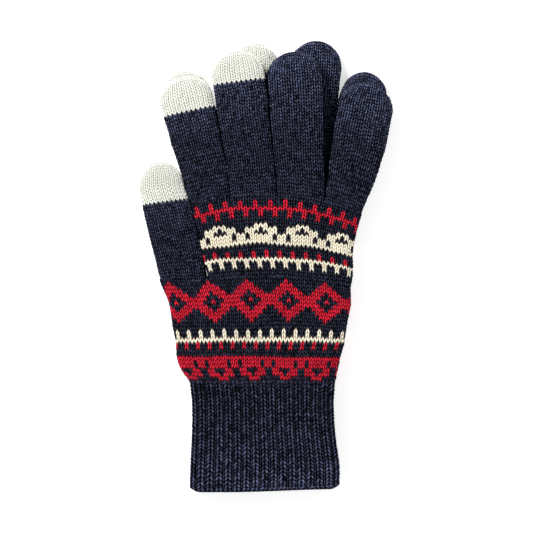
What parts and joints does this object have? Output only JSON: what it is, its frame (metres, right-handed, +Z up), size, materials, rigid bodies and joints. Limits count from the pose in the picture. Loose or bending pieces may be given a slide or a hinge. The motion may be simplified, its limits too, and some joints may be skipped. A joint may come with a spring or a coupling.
{
  "type": "knitted gloves",
  "caption": "Pair of seamless knitted touchscreen gloves with patterned palms and ribbed cuffs, laid flat one on the other.",
  "frame": {"origin": "centre of the pair's outline on the surface the gloves lie on", "axes": "+Y from the cuffs to the fingertips, +Z up out of the surface, +X across the hands, away from the thumbs"},
  "size_m": [0.1291, 0.2298, 0.0163],
  "materials": {
    "plain_knit": "plain stockinette knit in navy acrylic yarn",
    "patterned_knit": "navy stockinette knit with red and cream pattern yarns",
    "rib_knit": "one by one rib knit in navy acrylic yarn",
    "touch_knit": "stockinette knit in off-white conductive yarn",
    "edge_thread": "navy edge stitching",
    "elastic_thread": "dark covered elastic thread"
  },
  "bodies": {
    "lower_hand": {"lower_five_finger_palm": "patterned_knit", "lower_four_finger_palm": "patterned_knit"},
    "lower_cuff": {"lower_cuff": "rib_knit", "lower_cuff_edge": "edge_thread", "lower_cuff_elastic": "elastic_thread"},
    "lower_thumb": {"lower_thumb": "plain_knit", "lower_thumb_tip": "touch_knit"},
    "lower_index": {"lower_index": "plain_knit", "lower_index_tip": "touch_knit"},
    "lower_middle": {"lower_middle": "plain_knit", "lower_middle_tip": "touch_knit"},
    "lower_ring": {"lower_ring": "plain_knit"},
    "lower_little": {"lower_little": "plain_knit"},
    "upper_hand": {"upper_five_finger_palm": "patterned_knit", "upper_four_finger_palm": "patterned_knit"},
    "upper_cuff": {"upper_cuff": "rib_knit", "upper_cuff_edge": "edge_thread", "upper_cuff_elastic": "elastic_thread"},
    "upper_thumb": {"upper_thumb": "plain_knit", "upper_thumb_tip": "touch_knit"},
    "upper_index": {"upper_index": "plain_knit", "upper_index_tip": "touch_knit"},
    "upper_middle": {"upper_middle": "plain_knit", "upper_middle_tip": "touch_knit"},
    "upper_ring": {"upper_ring": "plain_knit"},
    "upper_little": {"upper_little": "plain_knit"}
  },
  "joints": [
    {"name": "upper_glove_lift", "type": "slide", "parent": "lower_hand", "child": "upper_hand", "axis": [0, 0, 1], "range_m": [0, 0.12]},
    {"name": "upper_thumb_fold", "type": "hinge", "parent": "upper_hand", "child": "upper_thumb", "pos_m": [-0.042, -0.004, 0.0163], "axis": [1, 0, 0], "range_deg": [0, 90]},
    {"name": "upper_index_fold", "type": "hinge", "parent": "upper_hand", "child": "upper_index", "pos_m": [-0.02835, 0.0375, 0.0163], "axis": [1, 0, 0], "range_deg": [0, 90]},
    {"name": "upper_middle_fold", "type": "hinge", "parent": "upper_hand", "child": "upper_middle", "pos_m": [-0.0054, 0.0375, 0.0163], "axis": [1, 0, 0], "range_deg": [0, 90]},
    {"name": "upper_ring_fold", "type": "hinge", "parent": "upper_hand", "child": "upper_ring", "pos_m": [0.01865, 0.0375, 0.0163], "axis": [1, 0, 0], "range_deg": [0, 90]},
    {"name": "upper_little_fold", "type": "hinge", "parent": "upper_hand", "child": "upper_little", "pos_m": [0.0421, 0.0375, 0.0163], "axis": [1, 0, 0], "range_deg": [0, 90]},
    {"name": "upper_cuff_fold", "type": "hinge", "parent": "upper_hand", "child": "upper_cuff", "pos_m": [-0.001, -0.0595, 0.0163], "axis": [-1, 0, 0], "range_deg": [0, 80]},
    {"name": "lower_thumb_fold", "type": "hinge", "parent": "lower_hand", "child": "lower_thumb", "pos_m": [-0.042, -0.004, 0], "axis": [1, 0, 0], "range_deg": [-90, 0]},
    {"name": "lower_index_fold", "type": "hinge", "parent": "lower_hand", "child": "lower_index", "pos_m": [-0.02905, 0.0375, 0], "axis": [1, 0, 0], "range_deg": [-90, 0]},
    {"name": "lower_middle_fold", "type": "hinge", "parent": "lower_hand", "child": "lower_middle", "pos_m": [-0.0054, 0.0375, 0], "axis": [1, 0, 0], "range_deg": [-90, 0]},
    {"name": "lower_ring_fold", "type": "hinge", "parent": "lower_hand", "child": "lower_ring", "pos_m": [0.0201, 0.0375, 0], "axis": [1, 0, 0], "range_deg": [-90, 0]},
    {"name": "lower_little_fold", "type": "hinge", "parent": "lower_hand", "child": "lower_little", "pos_m": [0.04285, 0.0375, 0], "axis": [1, 0, 0], "range_deg": [-90, 0]},
    {"name": "lower_cuff_fold", "type": "hinge", "parent": "lower_hand", "child": "lower_cuff", "pos_m": [-0.001, -0.0595, 0], "axis": [-1, 0, 0], "range_deg": [-80, 0]}
  ]
}
